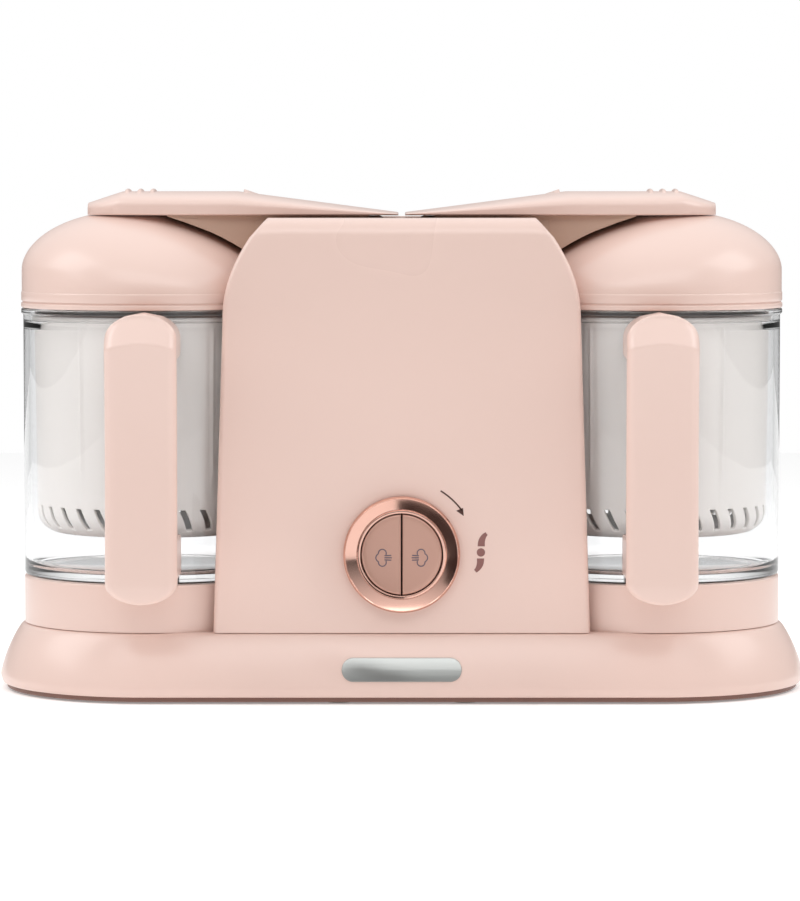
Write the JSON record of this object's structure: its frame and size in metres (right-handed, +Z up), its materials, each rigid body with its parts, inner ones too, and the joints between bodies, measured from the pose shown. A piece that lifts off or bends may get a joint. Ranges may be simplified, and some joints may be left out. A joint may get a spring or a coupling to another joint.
{
  "type": "two-bowl baby food maker",
  "caption": "Countertop steam cooker and blender with clear bowls either side of a control tower, hinged lock arms with steam lids, and a round control knob.",
  "frame": {"origin": "centre of the footprint, on the table", "axes": "+Z up, -Y towards the user who faces the knob, X across the two bowls"},
  "size_m": [0.394, 0.1805, 0.2442],
  "materials": {
    "pink_plastic": "smooth satin gloss",
    "mauve_plastic": "fine matt",
    "copper_metal": "rose copper metallic",
    "copper_plastic": "rose copper satin",
    "rubber_grey": "soft matt",
    "steel": "brushed",
    "badge_metal": "brushed",
    "dark_plastic": "fine matt",
    "belt_rubber": "matt",
    "board_green": "solder mask",
    "bronze": "sintered",
    "clear_plastic": "polished clear",
    "milky_plastic": "translucent white"
  },
  "bodies": {
    "base": {"base_plate": "mauve_plastic", "rubber_feet": "rubber_grey", "base_screws": "steel", "base_shell": "pink_plastic", "name_plate": "badge_metal", "cord_gland": "dark_plastic", "front_shield": "pink_plastic", "tower_shell": "pink_plastic", "tower_deck": "pink_plastic", "control_board": "board_green", "knob_core": "dark_plastic", "rotary_switch": "dark_plastic", "button_switches": "dark_plastic", "left_drive_ring": "pink_plastic", "right_drive_ring": "pink_plastic", "left_bearing": "bronze", "right_bearing": "bronze", "left_stator": "steel", "right_stator": "steel", "left_belt": "belt_rubber", "right_belt": "belt_rubber", "left_tank": "steel", "right_tank": "steel", "left_heater": "dark_plastic", "right_heater": "dark_plastic", "left_hinge_pin": "steel", "right_hinge_pin": "steel"},
    "knob": {"knob_ring": "copper_metal"},
    "left_button": {"left_button": "copper_plastic"},
    "right_button": {"right_button": "copper_plastic"},
    "left_motor": {"left_rotor": "steel"},
    "left_drive": {"left_pulley": "dark_plastic", "left_spindle": "steel", "left_blade_hub": "dark_plastic", "left_blade": "steel"},
    "left_bowl": {"left_bowl": "clear_plastic", "left_handle": "pink_plastic", "left_basket": "milky_plastic", "left_bush": "milky_plastic"},
    "left_arm": {"left_arm": "pink_plastic", "left_arm_liner": "pink_plastic", "left_lid": "pink_plastic", "left_lid_seal": "rubber_grey", "left_tank_seal": "rubber_grey"},
    "right_motor": {"right_rotor": "steel"},
    "right_drive": {"right_pulley": "dark_plastic", "right_spindle": "steel", "right_blade_hub": "dark_plastic", "right_blade": "steel"},
    "right_bowl": {"right_bowl": "clear_plastic", "right_handle": "pink_plastic", "right_basket": "milky_plastic", "right_bush": "milky_plastic"},
    "right_arm": {"right_arm": "pink_plastic", "right_arm_liner": "pink_plastic", "right_lid": "pink_plastic", "right_lid_seal": "rubber_grey", "right_tank_seal": "rubber_grey"}
  },
  "joints": [
    {"name": "left_arm_hinge", "type": "hinge", "parent": "base", "child": "left_arm", "pos_m": [-0.0115, 0, 0.2275], "axis": [0, 1, 0], "range_deg": [0, 75]},
    {"name": "left_bowl_turn", "type": "hinge", "parent": "base", "child": "left_bowl", "pos_m": [-0.122, 0, 0.05], "axis": [0, 0, -1], "range_deg": [0, 25]},
    {"name": "left_motor_spin", "type": "hinge", "parent": "base", "child": "left_motor", "pos_m": [-0.028, 0.015, 0.05], "axis": [0, 0, 1], "continuous": true},
    {"name": "left_blade_spin", "type": "hinge", "parent": "base", "child": "left_drive", "pos_m": [-0.122, 0, 0.05], "axis": [0, 0, 1], "continuous": true},
    {"name": "left_button_press", "type": "slide", "parent": "base", "child": "left_button", "axis": [0, 1, 0], "range_m": [0, 0.0015], "stiffness_N_per_m": 800, "springref_m": -0.001},
    {"name": "right_arm_hinge", "type": "hinge", "parent": "base", "child": "right_arm", "pos_m": [0.0115, 0, 0.2275], "axis": [0, -1, 0], "range_deg": [0, 75]},
    {"name": "right_bowl_turn", "type": "hinge", "parent": "base", "child": "right_bowl", "pos_m": [0.122, 0, 0.05], "axis": [0, 0, 1], "range_deg": [0, 25]},
    {"name": "right_motor_spin", "type": "hinge", "parent": "base", "child": "right_motor", "pos_m": [0.028, 0.015, 0.05], "axis": [0, 0, 1], "continuous": true},
    {"name": "right_blade_spin", "type": "hinge", "parent": "base", "child": "right_drive", "pos_m": [0.122, 0, 0.05], "axis": [0, 0, 1], "continuous": true},
    {"name": "right_button_press", "type": "slide", "parent": "base", "child": "right_button", "axis": [0, 1, 0], "range_m": [0, 0.0015], "stiffness_N_per_m": 800, "springref_m": -0.001},
    {"name": "knob_turn", "type": "hinge", "parent": "base", "child": "knob", "pos_m": [0, -0.063, 0.0708], "axis": [0, 1, 0], "range_deg": [0, 45], "stiffness_Nm_per_rad": 0.15}
  ],
  "couplings": [
    {"joint": "left_blade_spin", "follows": "left_motor_spin", "ratio": 0.3},
    {"joint": "right_blade_spin", "follows": "right_motor_spin", "ratio": 0.3}
  ]
}
